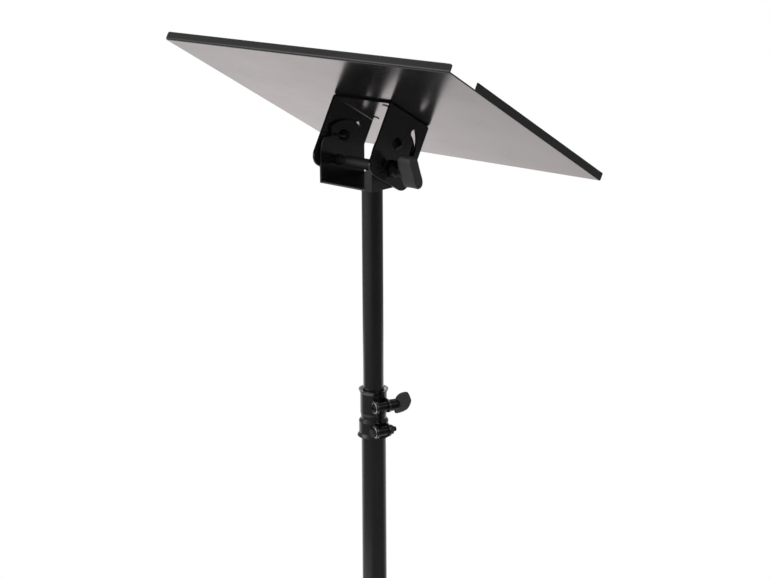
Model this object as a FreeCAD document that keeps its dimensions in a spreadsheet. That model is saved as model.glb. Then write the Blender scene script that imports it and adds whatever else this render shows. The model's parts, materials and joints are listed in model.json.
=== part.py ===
import FreeCAD, Part
import os
import re
import Sketcher

# Projector stand: a tilting tray on a telescopic mast with a folding tripod.
# Millimetres. The origin is on the mast axis at floor level, +Z is up, and the
# tilt axis runs along X with the tilt knob on the +X side.

SIZES = [
    # Tray
    ("tray_width", 434, "tray, along the tilt axis"),
    ("tray_depth", 311, "tray, across the tilt axis"),
    ("tray_sheet", 1.5, "tray sheet thickness"),
    ("lip_height", 9.8, "raised lip, from the underside"),
    ("lip_bend", 2.5, "outside bend radius of the lips"),
    ("side_lip_start", 48, "bare edge before a side lip starts"),
    ("tray_ahead", 153.5, "tray front edge ahead of the tilt axis"),
    # Yoke under the tray
    ("yoke_width", 90, "yoke over its ears"),
    ("yoke_depth", 75, "ear width"),
    ("yoke_drop", 84.3, "ear length below the tray"),
    ("yoke_ahead", 33, "ear front edge ahead of the tilt axis"),
    ("yoke_corner", 14, "rounded lower corners of the ears"),
    ("yoke_bend", 3.5, "outside bend radius of the yoke"),
    ("bracket_sheet", 2.5, "sheet of the yoke and the cradle"),
    ("axis_below_tray", 38, "tilt axis below the tray"),
    ("rest_tilt", 29.5, "tilt of the tray at rest, degrees"),
    # Lock slot in the yoke ears
    ("slot_radius", 29, "middle of the slot, about the tilt axis"),
    ("slot_width", 8.6, "slot width"),
    ("slot_first", 24, "slot end ahead of straight down, degrees"),
    ("slot_last", 135, "slot end behind straight down, degrees"),
    ("lock_angle", 12, "lock bolt behind straight down at rest, degrees"),
    # Cradle on the mast
    ("cradle_width", 82, "cradle over its ears"),
    ("cradle_front", 45, "cradle front ahead of the mast axis"),
    ("cradle_back", 28.6, "cradle ears behind the mast axis"),
    ("cradle_height", 69.2, "top of the cradle ears"),
    ("cradle_corner", 36.7, "rounded upper front corners of the ears"),
    ("back_corner", 32, "rounded upper back corners of the ears"),
    ("notch_ahead", 26, "left ear's notch, ahead of the mast axis"),
    ("notch_height", 53.3, "floor of the left ear's notch"),
    ("lug_reach", 12, "stop lug on the left ear"),
    ("lug_width", 4, "stop lug on the left ear"),
    ("lug_ahead", 21, "stop lug's front, ahead of the mast axis"),
    ("flange_height", 24.4, "front flange of the right ear"),
    ("flange_width", 10, "front flange of the right ear"),
    ("plate_round", 2, "rounded front edge of the cradle's floor"),
    ("axis_ahead", 5.9, "tilt axis ahead of the mast axis"),
    ("axis_height", 50.9, "tilt axis above the cradle's underside"),
    # Fasteners of the head
    ("bolt_radius", 4, "pivot and lock bolts"),
    ("fit_gap", 0.05, "radial clearance of a running fit"),
    ("hole_gap", 0.2, "radial clearance of a plain bolt hole"),
    ("rub_gap", 0.1, "clearance between faces that rub"),
    ("button_radius", 7, "button head of a pivot bolt"),
    ("button_height", 4.4, "button head of a pivot bolt"),
    ("pivot_reach", 6.2, "pivot bolt past the cradle's outer face"),
    ("nut_across", 12, "pivot nuts, across flats"),
    ("nut_height", 3, "pivot nuts"),
    ("disc_radius", 15, "friction disc at the tilt axis"),
    ("guide_radius", 11, "guide disc at the lock bolt"),
    ("washer_radius", 10, "steel washer at the lock bolt"),
    ("washer_sheet", 1.6, "steel washer at the lock bolt"),
    ("spacer_radius", 6.5, "turned spacer round the lock bolt"),
    ("spacer_collar", 2.5, "spacer's collar at the left ear"),
    ("spacer_waist", 4.9, "spacer's waist"),
    ("spacer_waist_end", 9, "end of the waist, from the left ear"),
    ("spacer_taper_end", 16, "end of the taper, from the left ear"),
    ("dome_radius", 9, "domed head of the lock bolt"),
    ("dome_height", 4.6, "domed head of the lock bolt"),
    ("rivet_radius", 2.5, "tray rivets"),
    ("rivet_side", 28, "tray rivets, from the middle plane"),
    ("rivet_margin", 12, "tray rivets, from the ear's edges"),
    ("rivet_tail", 4.2, "flattened tail of a tray rivet"),
    ("rivet_tail_height", 0.9, "flattened tail of a tray rivet"),
    # Tilt knob
    ("knob_flange_radius", 10, "flange of the tilt knob"),
    ("knob_flange_length", 3.5, "flange of the tilt knob"),
    ("knob_neck_radius", 7.6, "neck of the tilt knob"),
    ("grip_start", 15, "grip's inner end, from the flange's face"),
    ("grip_end", 35, "grip's outer end, from the flange's face"),
    ("grip_long", 20.5, "half length of the oval grip"),
    ("grip_short", 8.4, "half thickness of the oval grip"),
    ("grip_turn", 20, "grip's long axis, turned from upright, degrees"),
    ("grip_round", 2, "rounded ends of the grip"),
    ("knob_depth", 20, "bore of the tilt knob"),
    # Mast
    ("cradle_z", 950, "underside of the cradle"),
    ("upper_radius", 12.5, "upper tube"),
    ("lower_radius", 15, "lower tube"),
    ("tube_wall", 1.5, "both mast tubes"),
    ("upper_length", 570, "upper tube"),
    ("glide_length", 40, "nylon glide on the upper tube"),
    ("glide_floor", 4, "end wall of the glide"),
    ("lower_bottom", 8, "lower end of the lower tube"),
    # Clamp sleeve between the tubes
    ("sleeve_top", 695, "upper rim of the clamp sleeve"),
    ("sleeve_height", 59, "clamp sleeve"),
    ("sleeve_wall", 2.4, "clamp sleeve sheet"),
    ("barrel_upper", 16.3, "outside of the upper barrel"),
    ("barrel_waist", 15.6, "outside of the waist"),
    ("barrel_lower", 18, "outside of the lower barrel"),
    ("flare_top", 18.1, "outside of the upper rim"),
    ("flare_bottom", 20, "outside of the lower rim"),
    ("flare_height", 4.5, "each flared rim"),
    ("lower_barrel_end", 19, "end of the lower barrel, above the lower rim"),
    ("waist_start", 22.5, "start of the waist, above the lower rim"),
    ("waist_end", 26.5, "end of the waist, above the lower rim"),
    ("upper_barrel_start", 30, "start of the upper barrel, above the lower rim"),
    ("ear_turn", 20, "clamp ears, turned from +X towards the front"),
    ("ear_round", 8, "round ends of the clamp ears"),
    ("ear_gap", 14, "space between the clamp ears"),
    ("ear_bolt", 21.5, "clamp bolts, from the mast axis"),
    ("split_width", 5, "split in the sleeve's wall"),
    ("thumb_drop", 17, "thumb bolt below the upper rim"),
    ("hex_drop", 48, "hexagon bolt below the upper rim"),
    ("thumb_radius", 3, "clamp bolts"),
    ("thumb_head", 6.5, "round head of the thumb bolt"),
    ("thumb_head_height", 3.4, "round head of the thumb bolt"),
    ("thumb_spacer_radius", 5.8, "spacer between the clamp ears"),
    ("hex_across", 10, "hexagon bolt and nut, across flats"),
    ("hex_height", 5, "hexagon bolt and nut"),
    ("hex_tail", 4, "hexagon bolt past its nut"),
    ("stem_radius", 6, "stem of a thumb knob"),
    ("stem_length", 16, "stem of a thumb knob"),
    ("thumb_depth", 12, "bore of a thumb knob"),
    ("paddle_radius", 13.5, "half-moon paddle of a thumb knob"),
    ("paddle_half", 2.8, "half thickness of the paddle"),
    ("paddle_centre", 17.5, "paddle centre, from the stem's face"),
    ("paddle_flat", 12, "flat side of the paddle, from the stem's face"),
    # Tripod
    ("leg_angle", 55, "open legs from the mast, degrees"),
    ("link_length", 200, "crown pivot to brace pivot, and brace pivots"),
    ("pivot_radius", 36, "crown and hub pivots, from the mast axis"),
    ("hub_z", 17, "hub pivots above the floor"),
    ("leg_radius", 10, "leg tube"),
    ("leg_wall", 1.5, "leg tube"),
    ("leg_start", 22, "leg tube's upper end, from its pivot"),
    ("foot_bite", 22, "leg tube inside the foot"),
    ("foot_wall", 3, "rubber foot round the tube"),
    ("foot_sole", 24, "rubber from the tube's end to the floor"),
    ("foot_extra", 14, "length trimmed off the foot at the floor"),
    ("tongue_half_width", 6, "leg tongue between the crown lugs"),
    ("tongue_half", 9, "half height of the tongue"),
    ("plug_length", 40, "tongue's plug inside the tube"),
    ("lug_wall", 5, "crown lugs"),
    ("lug_radius", 12, "round ends of the crown lugs"),
    ("hub_lug_radius", 8, "round ends of the hub lugs"),
    ("crown_radius", 24, "crown sleeve"),
    ("crown_half", 22, "half height of the crown sleeve"),
    ("hub_radius", 22, "hub sleeve"),
    ("hub_half", 9, "half height of the hub"),
    ("stop_height", 10, "stop ring under the crown"),
    ("stop_radius", 20, "stop ring under the crown"),
    ("side_gap", 0.3, "play beside the tongues and straps"),
    ("pin_radius", 3, "crown, hub and brace pins"),
    ("pin_head", 5.5, "pin heads"),
    ("pin_head_height", 2.5, "pin heads"),
    ("strap_half", 8, "half width of the brace straps"),
    ("strap_sheet", 2, "brace straps"),
    ("cap_height", 5, "end cap under the lower tube"),
    ("cap_plug", 14, "end cap's plug inside the tube"),
    ("crown_knob_turn", 30, "crown knob, turned from +X towards the back"),
]
LEGS = {1: 90, 2: 210, 3: 330}

doc = FreeCAD.newDocument("projector_stand")
dims = doc.addObject("Spreadsheet::Sheet", "dims")
for row, (alias, number, note) in enumerate(SIZES, 1):
    dims.set("A%d" % row, note)
    dims.set("B%d" % row, str(number))
    dims.setAlias("B%d" % row, alias)
doc.recompute()

ALIASES = {alias for alias, number, note in SIZES}
X_AXIS = FreeCAD.Vector(1, 0, 0)
Y_AXIS = FreeCAD.Vector(0, 1, 0)
Z_AXIS = FreeCAD.Vector(0, 0, 1)
TURNS = {"X": Y_AXIS, "Y": X_AXIS * -1, "Z": None}
nodes = []


def size(alias):
    """Number held by one cell of the sheet."""
    return float(dims.get(alias))


def formula(text):
    """Expression in which each size name points at its cell."""
    def cell(match):
        word = match.group(0)
        return "dims." + word if word in ALIASES else word
    return re.sub(r"[a-z][a-z_]+", cell, str(text))


def bind(thing, **settings):
    """Tie properties of an object to the sheet."""
    for name, text in settings.items():
        thing.setExpression(name, formula(text))
    return thing


def move(thing, x="0", y="0", z="0", turn=None, angle=90):
    """Place an object: a bound base point, and a turn that is fixed or bound."""
    if turn is not None:
        bound = isinstance(angle, str)
        start = 30 if bound else angle
        thing.Placement = FreeCAD.Placement(FreeCAD.Vector(), FreeCAD.Rotation(turn, start))
        if bound:
            thing.setExpression("Placement.Rotation.Angle", formula(angle))
    for letter, text in zip("xyz", (x, y, z)):
        thing.setExpression("Placement.Base." + letter, formula(text))
    return thing


def cylinder(radius, height, x="0", y="0", z="0", along="Z"):
    """Round bar that starts at a point and runs along +X, +Y or +Z."""
    bar = bind(doc.addObject("Part::Cylinder", "bar"), Radius=radius, Height=height)
    return move(bar, x, y, z, TURNS[along])


def cone(first, last, height, x="0", y="0", z="0"):
    """Tapered bar that starts at a point and runs along +Z."""
    bar = bind(doc.addObject("Part::Cone", "taper"), Radius1=first, Radius2=last, Height=height)
    return move(bar, x, y, z)


def hexagon(across, height, x="0", y="0", z="0", along="Z"):
    """Hexagon bar, given across its flats."""
    bar = doc.addObject("Part::Prism", "hexagon")
    bar.Polygon = 6
    bind(bar, Circumradius="(%s) / sqrt(3)" % across, Height=height)
    return move(bar, x, y, z, TURNS[along])


def box(x, y, z):
    """Block between two bounds on each axis."""
    block = doc.addObject("Part::Box", "block")
    spans = ["(%s) - (%s)" % (high, low) for low, high in (x, y, z)]
    bind(block, Length=spans[0], Width=spans[1], Height=spans[2])
    return move(block, x[0], y[0], z[0])


def fuse(*shapes):
    """One solid from several that meet or overlap."""
    joined = doc.addObject("Part::MultiFuse", "joined")
    joined.Shapes = list(shapes)
    joined.Refine = True
    return joined


def group(*shapes):
    """Separate solids kept together."""
    bundle = doc.addObject("Part::Compound", "bundle")
    bundle.Links = list(shapes)
    return bundle


def cut(base, *tools):
    """A solid with others taken away."""
    rest = doc.addObject("Part::Cut", "rest")
    rest.Base = base
    rest.Tool = tools[0] if len(tools) == 1 else fuse(*tools)
    rest.Refine = True
    return rest


def tube(outer, inner, length, x="0", y="0", z="0", along="Z"):
    """Plain ring or tube."""
    return cut(cylinder(outer, length, x, y, z, along), cylinder(inner, length, x, y, z, along))


def rounded(base, radius, chosen, kind=Part.Line):
    """Round the edges of a kind that the test picks by middle point and heading."""
    doc.recompute()
    edges = []
    for index, edge in enumerate(base.Shape.Edges, 1):
        if not isinstance(edge.Curve, kind):
            continue
        middle = edge.valueAt((edge.FirstParameter + edge.LastParameter) / 2)
        if chosen(middle, edge.tangentAt(edge.FirstParameter)):
            edges.append((index, radius, radius))
    smooth = doc.addObject("Part::Fillet", "smooth")
    smooth.Base = base
    smooth.Edges = edges
    return smooth


def near(first, second):
    """Same place, within the modelling tolerance."""
    return abs(first - second) < 0.01


def runs(heading, axis):
    """Heading along an axis."""
    return abs(heading.dot(axis)) > 0.99


def revolved(outline):
    """Solid turned about Z from an outline of (radius, height) expressions."""
    body = doc.addObject("PartDesign::Body", "turned")
    sketch = body.newObject("Sketcher::SketchObject", "outline")
    plane = [f for f in body.Origin.OriginFeatures if f.Role == "XZ_Plane"][0]
    sketch.AttachmentSupport = [(plane, "")]
    sketch.MapMode = "FlatFace"
    count = len(outline)
    rough = [FreeCAD.Vector(10 + i % 3, 5 + i, 0) for i in range(count)]
    for i in range(count):
        sketch.addGeometry(Part.LineSegment(rough[i], rough[(i + 1) % count]))
    for i in range(count):
        sketch.addConstraint(Sketcher.Constraint("Coincident", i, 2, (i + 1) % count, 1))
    for i, (radius, height) in enumerate(outline):
        for kind, text, axis in (("DistanceX", radius, -2), ("DistanceY", height, -1)):
            if text == "0":
                sketch.addConstraint(Sketcher.Constraint("PointOnObject", i, 1, axis))
                continue
            number = sketch.addConstraint(Sketcher.Constraint(kind, -1, 1, i, 1, 10.0))
            sketch.setExpression("Constraints[%d]" % number, formula(text))
    turn = body.newObject("PartDesign::Revolution", "turn")
    turn.Profile = sketch
    turn.ReferenceAxis = (sketch, ["V_Axis"])
    turn.Angle = 360
    return body


def dome_bolt(head, rise, shank, length, socket=None):
    """Bolt along Z: a domed head above zero and a shank below it."""
    ball_radius = "((%s)^2 + (%s)^2) / (2 * (%s))" % (head, rise, rise)
    ball = bind(doc.addObject("Part::Sphere", "ball"), Radius=ball_radius)
    move(ball, z="%s - %s" % (rise, ball_radius))
    cap = doc.addObject("Part::Common", "cap")
    cap.Base = ball
    cap.Tool = cylinder(head, "2 * (%s)" % rise)
    bolt = fuse(cap, cylinder(shank, "%s + 0.2 * (%s)" % (length, rise), z="-(%s)" % length))
    if socket is None:
        return bolt
    return cut(bolt, hexagon(socket, rise, z="0.4 * (%s)" % rise))


def node(label, shape):
    """Name a finished sub-part."""
    shape.Label = label
    nodes.append(shape)
    return shape


# Tilting head, drawn level about the tilt axis
UNDER = "axis_below_tray"
TRAY_FRONT = "-tray_ahead"
TRAY_BACK = "tray_depth - tray_ahead"
HALF_TRAY = "tray_width / 2"
HALF_YOKE = "yoke_width / 2"
HALF_CRADLE = "cradle_width / 2"
RIVET_ROWS = ("rivet_margin - yoke_ahead", "yoke_depth - yoke_ahead - rivet_margin")
RIVET_SPOTS = [(x, y) for x in ("-rivet_side", "rivet_side") for y in RIVET_ROWS]
AXIS_Z = "cradle_z + axis_height"
LOCK_Y = "slot_radius * sin(lock_angle - rest_tilt) - axis_ahead"
LOCK_Z = "cradle_z + axis_height - slot_radius * cos(lock_angle - rest_tilt)"
KNOB_X = "yoke_width / 2 + washer_sheet + 2 * rub_gap"


def tilted(shape):
    """Put a piece of the head at its rest tilt."""
    return move(shape, "0", "-axis_ahead", AXIS_Z, X_AXIS * -1, "rest_tilt")


def build_tray():
    """Sheet tray with full lips front and back and shorter side lips."""
    wide = ("-" + HALF_TRAY, HALF_TRAY)
    deep = (TRAY_FRONT + " + side_lip_start", TRAY_BACK)
    tall = (UNDER, UNDER + " + lip_height")
    sheet = box(wide, (TRAY_FRONT, TRAY_BACK), (UNDER, UNDER + " + tray_sheet"))
    front = box(wide, (TRAY_FRONT, TRAY_FRONT + " + tray_sheet"), tall)
    back = box(wide, (TRAY_BACK + " - tray_sheet", TRAY_BACK), tall)
    left = box((wide[0], wide[0] + " + tray_sheet"), deep, tall)
    right = box((wide[1] + " - tray_sheet", wide[1]), deep, tall)
    half = size("tray_width") / 2
    ahead = -size("tray_ahead")
    behind = size("tray_depth") + ahead
    under = size("axis_below_tray")

    def bend(middle, heading):
        return runs(heading, X_AXIS) and near(middle.z, under) and (
            near(middle.y, ahead) or near(middle.y, behind))

    def lip_end(middle, heading):
        return runs(heading, Y_AXIS) and near(abs(middle.x), half) and (
            near(middle.z, under + size("lip_height")) and middle.y < ahead + size("lip_bend"))
    pan = rounded(fuse(sheet, front, back, left, right), size("lip_bend"), bend)
    pan = rounded(pan, size("lip_bend"), lip_end)
    sink = ("rivet_radius + hole_gap", "rivet_radius + tray_sheet + hole_gap", "tray_sheet")
    sinks = [cone(*sink, x, y, UNDER) for x, y in RIVET_SPOTS]
    tilted(node("tray", cut(pan, *sinks)))


def build_yoke():
    """Sheet channel under the tray, with a curved lock slot in each ear."""
    deep = ("-yoke_ahead", "yoke_depth - yoke_ahead")
    outside = box(("-" + HALF_YOKE, HALF_YOKE), deep, (UNDER + " - yoke_drop", UNDER))
    inside = box(("bracket_sheet - " + HALF_YOKE, HALF_YOKE + " - bracket_sheet"), deep,
                 (UNDER + " - yoke_drop", UNDER + " - bracket_sheet"))
    top = size("axis_below_tray")
    bottom = top - size("yoke_drop")
    half = size("yoke_width") / 2
    sheet = size("bracket_sheet")

    def outer_bend(middle, heading):
        return runs(heading, Y_AXIS) and near(middle.z, top) and near(abs(middle.x), half)

    def inner_bend(middle, heading):
        return runs(heading, Y_AXIS) and near(middle.z, top - sheet) and near(abs(middle.x), half - sheet)

    def lower_corner(middle, heading):
        return runs(heading, X_AXIS) and near(middle.z, bottom)
    channel = rounded(cut(outside, inside), size("yoke_bend"), outer_bend)
    channel = rounded(channel, size("yoke_bend") - sheet, inner_bend)
    channel = rounded(channel, size("yoke_corner"), lower_corner)
    wide = dict(x="-yoke_width", along="X")
    sweep = cylinder("slot_radius + slot_width / 2", "2 * yoke_width", **wide)
    bind(sweep, Angle="slot_first + slot_last")
    slot = cut(sweep, cylinder("slot_radius - slot_width / 2", "2 * yoke_width", **wide))
    move(slot, turn=X_AXIS * -1, angle="slot_first")
    first = cylinder("slot_width / 2", "2 * yoke_width", y="-slot_radius * sin(slot_first)",
                     z="-slot_radius * cos(slot_first)", **wide)
    last = cylinder("slot_width / 2", "2 * yoke_width", y="slot_radius * sin(slot_last)",
                    z="-slot_radius * cos(slot_last)", **wide)
    pivot = cylinder("bolt_radius + fit_gap", "2 * yoke_width", **wide)
    web = UNDER + " - bracket_sheet"
    holes = [cylinder("rivet_radius + hole_gap", "2 * bracket_sheet", x, y, web) for x, y in RIVET_SPOTS]
    tilted(node("yoke", cut(channel, slot, first, last, pivot, *holes)))


def build_tray_rivets():
    """Four countersunk rivets, flush with the tray and flattened under the yoke."""
    rivets = []
    web = UNDER + " - bracket_sheet"
    for x, y in RIVET_SPOTS:
        head = cone("rivet_radius", "rivet_radius + tray_sheet", "tray_sheet", x, y, UNDER)
        shank = cylinder("rivet_radius", "bracket_sheet", x, y, web)
        tail = cylinder("rivet_tail", "rivet_tail_height", x, y, web + " - rivet_tail_height")
        rivets.append(fuse(head, shank, tail))
    tilted(node("tray_rivets", group(*rivets)))


def build_cradle():
    """Two round-topped ears and a floor: the left ear is notched, the right one has a front flange."""
    deep = ("-cradle_front", "cradle_back")
    tall = ("0", "cradle_height")
    inner = "(%s - bracket_sheet)" % HALF_CRADLE
    lip_start = HALF_CRADLE + " - flange_width"
    lip_deep = ("-cradle_front", "bracket_sheet - cradle_front")
    holes = [cylinder("bolt_radius + hole_gap", "2 * cradle_width", "-cradle_width", y, z, "X")
             for y, z in (("-axis_ahead", "axis_height"), (LOCK_Y, LOCK_Z + " - cradle_z"))]

    def front_top(middle, heading):
        return runs(heading, X_AXIS) and near(middle.z, size("cradle_height")) and middle.y < 0

    def back_top(middle, heading):
        return runs(heading, X_AXIS) and near(middle.z, size("cradle_height")) and middle.y > 0

    def ear(across):
        front = rounded(box(across, deep, tall), size("cradle_corner"), front_top)
        return rounded(front, size("back_corner"), back_top)

    def floor_edge(middle, heading):
        return runs(heading, X_AXIS) and near(middle.y, -size("cradle_front")) and (
            near(middle.z, size("bracket_sheet")))
    stop = box(("-cradle_width", "cradle_width"), ("-2 * cradle_front", "-notch_ahead"),
               ("notch_height", "2 * cradle_height"))
    left = cut(ear(("-" + HALF_CRADLE, "-" + inner)), stop)
    lug = box(("-" + inner, "lug_reach - " + inner), ("-lug_ahead", "lug_width - lug_ahead"),
              ("notch_height - bracket_sheet / 2", "notch_height + bracket_sheet / 2"))
    right = ear((inner, HALF_CRADLE))
    flange = box((lip_start, HALF_CRADLE), lip_deep, ("0", "flange_height"))
    ears = group(cut(fuse(left, lug), *holes), cut(fuse(right, flange), *holes))
    move(node("cradle_ears", ears), z="cradle_z")
    plate = box(("-" + inner, inner), deep, ("0", "bracket_sheet"))
    notch = box((lip_start, inner), lip_deep, ("0", "bracket_sheet"))
    move(node("cradle_plate", cut(rounded(plate, size("plate_round"), floor_edge), notch)), z="cradle_z")


def build_pivot():
    """Tilt pivot: a bolt, a nut and a friction disc at each ear."""
    bolts = []
    nuts = []
    discs = []
    for sign in (1, -1):
        length = "yoke_width / 2 + rub_gap - cradle_width / 2 + pivot_reach"
        bolt = dome_bolt("button_radius", "button_height", "bolt_radius", length, "bolt_radius + 1")
        face = "%d * (yoke_width / 2 + rub_gap)" % sign
        bolts.append(move(bolt, face, "-axis_ahead", AXIS_Z, Y_AXIS * sign))
        spot = dict(y="-axis_ahead", z=AXIS_Z, along="X")
        ear = HALF_CRADLE + " - bracket_sheet"
        start = ear + " - nut_height" if sign > 0 else "-(%s)" % ear
        nuts.append(cut(hexagon("nut_across", "nut_height", start, **spot),
                        cylinder("bolt_radius + fit_gap", "nut_height", start, **spot)))
        thick = "yoke_width / 2 - bracket_sheet - rub_gap - cradle_width / 2"
        start = HALF_CRADLE if sign > 0 else "-%s - (%s)" % (HALF_CRADLE, thick)
        discs.append(tube("disc_radius", "bolt_radius + hole_gap", thick, start, **spot))
    node("pivot_bolts", group(*bolts))
    node("pivot_nuts", group(*nuts))
    node("friction_discs", group(*discs))


def build_lock():
    """Tilt lock: one long bolt through both slots, with a turned spacer and washers."""
    spot = dict(y=LOCK_Y, z=LOCK_Z, along="X")
    bore = "bolt_radius + hole_gap"
    bolt = dome_bolt("dome_radius", "dome_height", "bolt_radius",
                     "yoke_width + 2 * washer_sheet + 3 * rub_gap + knob_depth - 2")
    move(node("lock_bolt", bolt), "-(yoke_width / 2 + washer_sheet + rub_gap)", LOCK_Y, LOCK_Z, Y_AXIS * -1)
    reach = "cradle_width - 2 * bracket_sheet"
    spacer = revolved([("0", "0"), ("spacer_radius", "0"), ("spacer_radius", "spacer_collar"),
                       ("spacer_waist", "spacer_collar"), ("spacer_waist", "spacer_waist_end"),
                       ("spacer_radius", "spacer_taper_end"), ("spacer_radius", reach), ("0", reach)])
    turned = node("lock_spacer", cut(spacer, cylinder(bore, reach)))
    move(turned, "bracket_sheet - cradle_width / 2", LOCK_Y, LOCK_Z, Y_AXIS)
    thick = "yoke_width / 2 - bracket_sheet - rub_gap - cradle_width / 2"
    guides = [tube("guide_radius", bore, thick, HALF_CRADLE, **spot),
              tube("guide_radius", bore, thick, "-%s - (%s)" % (HALF_CRADLE, thick), **spot)]
    node("guide_discs", group(*guides))
    outside = HALF_YOKE + " + rub_gap"
    washers = [tube("washer_radius", bore, "washer_sheet", start, **spot)
               for start in (outside, "-(%s) - washer_sheet" % outside)]
    node("lock_washers", group(*washers))


def build_tilt_knob():
    """Oval grip on a round neck, drawn along +Z from its flange's face."""
    flange = cylinder("knob_flange_radius", "knob_flange_length")
    neck = cylinder("knob_neck_radius", "(grip_start + grip_end) / 2")
    outline = doc.addObject("Part::Ellipse", "outline")
    bind(outline, MajorRadius="grip_long", MinorRadius="grip_short")
    move(outline, z="grip_start", turn=Z_AXIS, angle="90 + grip_turn")
    grip = doc.addObject("Part::Extrusion", "grip")
    grip.Base = outline
    grip.DirMode = "Custom"
    grip.Dir = Z_AXIS
    grip.Solid = True
    bind(grip, LengthFwd="grip_end - grip_start")

    def rim(middle, heading):
        return not runs(heading, Z_AXIS)
    grip = rounded(grip, size("grip_round"), rim, Part.Ellipse)
    knob = cut(fuse(flange, neck, grip), cylinder("bolt_radius + fit_gap", "knob_depth"))
    move(node("tilt_knob", knob), KNOB_X, LOCK_Y, LOCK_Z, FreeCAD.Vector(1, 1, 1), 120)


def build_mast():
    """Two telescopic tubes, the nylon glide between them and the end cap."""
    bottom = "cradle_z - upper_length"
    node("upper_tube", tube("upper_radius", "upper_radius - tube_wall", "upper_length", z=bottom))
    cup = cylinder("lower_radius - tube_wall - fit_gap", "glide_length", z=bottom + " - glide_floor")
    node("tube_glide", cut(cup, cylinder("upper_radius + fit_gap", "glide_length", z=bottom)))
    length = "sleeve_top - sleeve_height + lower_barrel_end - lower_bottom"
    node("lower_tube", tube("lower_radius", "lower_radius - tube_wall", length, z="lower_bottom"))
    cap = cylinder("lower_radius", "cap_height", z="lower_bottom - cap_height")
    plug = cylinder("lower_radius - tube_wall - fit_gap", "cap_plug", z="lower_bottom")
    node("tube_cap", fuse(cap, plug))


EAR_SIDE = "(ear_gap / 2 + sleeve_wall)"
THUMB_Z = "sleeve_height - thumb_drop"
HEX_Z = "sleeve_height - hex_drop"


def eared(shape):
    """Turn a clamp piece, drawn with its ears along +X, to the ears' heading."""
    return move(shape, z="sleeve_top - sleeve_height", turn=Z_AXIS * -1, angle="ear_turn")


def build_sleeve():
    """Split clamp sleeve with flared rims and two pairs of ears, and its bush."""
    rim = "sleeve_height - flare_height"
    inside = "barrel_upper - sleeve_wall"
    waist = "barrel_waist - sleeve_wall"
    snug = "lower_radius + fit_gap"
    outer = revolved([("0", "0"), ("flare_bottom", "0"), ("barrel_lower", "flare_height"),
                      ("barrel_lower", "lower_barrel_end"), ("barrel_waist", "waist_start"),
                      ("barrel_waist", "waist_end"), ("barrel_upper", "upper_barrel_start"),
                      ("barrel_upper", rim), ("flare_top", "sleeve_height"), ("0", "sleeve_height")])
    bore = revolved([("0", "0"), (snug, "0"), (snug, "lower_barrel_end"), (waist, "waist_start"),
                     (waist, "waist_end"), (inside, "upper_barrel_start"), (inside, rim),
                     ("flare_top - sleeve_wall", "sleeve_height"), ("0", "sleeve_height")])
    ears = []
    spaces = []
    holes = []
    for level in (THUMB_Z, HEX_Z):
        tall = (level + " - ear_round", level + " + ear_round")
        ears.append(box(("0", "ear_bolt"), ("-" + EAR_SIDE, EAR_SIDE), tall))
        ears.append(cylinder("ear_round", "2 * " + EAR_SIDE, "ear_bolt", "-" + EAR_SIDE, level, "Y"))
        spaces.append(box(("upper_radius + tube_wall + hole_gap", "2 * ear_bolt"),
                          ("-ear_gap / 2", "ear_gap / 2"), tall))
        holes.append(cylinder("thumb_radius + hole_gap", "4 * ear_gap", "ear_bolt", "-2 * ear_gap",
                              level, "Y"))
    split = box(("0", "2 * ear_bolt"), ("-split_width / 2", "split_width / 2"), ("0", "sleeve_height"))
    eared(node("clamp_sleeve", cut(fuse(outer, *ears), bore, split, *spaces, *holes)))
    node("sleeve_bush", tube(waist + " - fit_gap", "upper_radius + fit_gap",
                             "%s - lower_barrel_end - side_gap" % rim,
                             z="sleeve_top - sleeve_height + lower_barrel_end + side_gap"))


def build_clamp():
    """Height clamp: thumb bolt, spacer and knob above, hexagon bolt and nut below."""
    bolt = dome_bolt("thumb_head", "thumb_head_height", "thumb_radius",
                     "2 * %s + rub_gap + thumb_depth - 2" % EAR_SIDE, "thumb_radius + 1")
    move(bolt, "ear_bolt", "-" + EAR_SIDE, THUMB_Z, X_AXIS)
    eared(node("thumb_bolt", group(bolt)))
    eared(node("thumb_spacer", tube("thumb_spacer_radius", "thumb_radius + hole_gap", "ear_gap", "ear_bolt",
                                    "-ear_gap / 2", THUMB_Z, "Y")))
    head = hexagon("hex_across", "hex_height", "ear_bolt", "-%s - hex_height" % EAR_SIDE, HEX_Z, "Y")
    shank = cylinder("thumb_radius", "2 * %s + hex_height + hex_tail" % EAR_SIDE, "ear_bolt",
                     "-" + EAR_SIDE, HEX_Z, "Y")
    eared(node("hex_bolt", fuse(head, shank)))
    eared(node("hex_spacer", tube("thumb_spacer_radius", "thumb_radius + hole_gap", "ear_gap", "ear_bolt",
                                  "-ear_gap / 2", HEX_Z, "Y")))
    nut = cut(hexagon("hex_across", "hex_height", "ear_bolt", EAR_SIDE, HEX_Z, "Y"),
              cylinder("thumb_radius + fit_gap", "hex_height", "ear_bolt", EAR_SIDE, HEX_Z, "Y"))
    eared(node("hex_nut", nut))
    knob = thumb_knob("thumb_depth")
    move(knob, "ear_bolt", EAR_SIDE + " + rub_gap", THUMB_Z)
    eared(node("height_knob", group(knob)))


def thumb_knob(depth=None):
    """Thumb knob along +Y from its stem's face, with a half-moon paddle."""
    stem = cylinder("stem_radius", "stem_length", along="Y")
    disc = cylinder("paddle_radius", "2 * paddle_half", "-paddle_half", "paddle_centre", "0", "X")
    flat = box(("-2 * paddle_half", "2 * paddle_half"), ("-2 * paddle_radius", "paddle_flat"),
               ("-2 * paddle_radius", "2 * paddle_radius"))
    solid = fuse(stem, cut(disc, flat))
    if depth is None:
        return solid
    return cut(solid, cylinder("thumb_radius + fit_gap", depth, along="Y"))


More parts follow.
